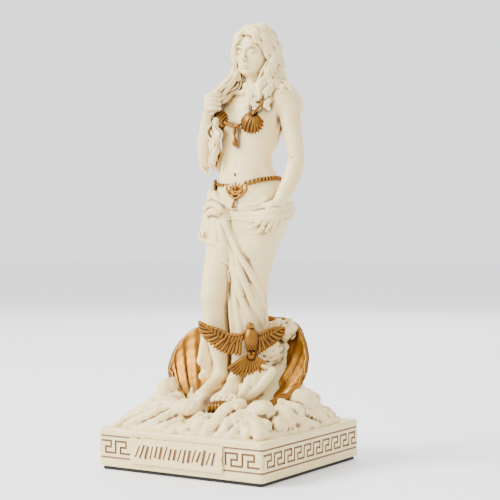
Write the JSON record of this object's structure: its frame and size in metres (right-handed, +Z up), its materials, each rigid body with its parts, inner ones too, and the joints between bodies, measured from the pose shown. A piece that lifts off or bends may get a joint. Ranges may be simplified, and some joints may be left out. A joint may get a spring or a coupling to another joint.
{
  "type": "goddess statuette",
  "caption": "Small ivory resin statuette of a love goddess in a gold scallop shell with a gold dove, on a square plinth with a fret band.",
  "frame": {"origin": "centre of the felt pad's underside, on the surface that the statuette stands on", "axes": "+Z up, -Y out of the front face with the tablet, +X towards the figure's left"},
  "size_m": [0.038, 0.0385, 0.0898],
  "materials": {
    "ivory_resin": "ivory cold-cast resin with a brown antiquing wash in its recesses",
    "gold_paint": "antique gold metallic paint over resin, darker in its recesses",
    "black_felt": "black felt"
  },
  "bodies": {
    "root": {"statuette": "ivory_resin", "dove": "gold_paint", "felt_pad": "black_felt"}
  },
  "joints": []
}
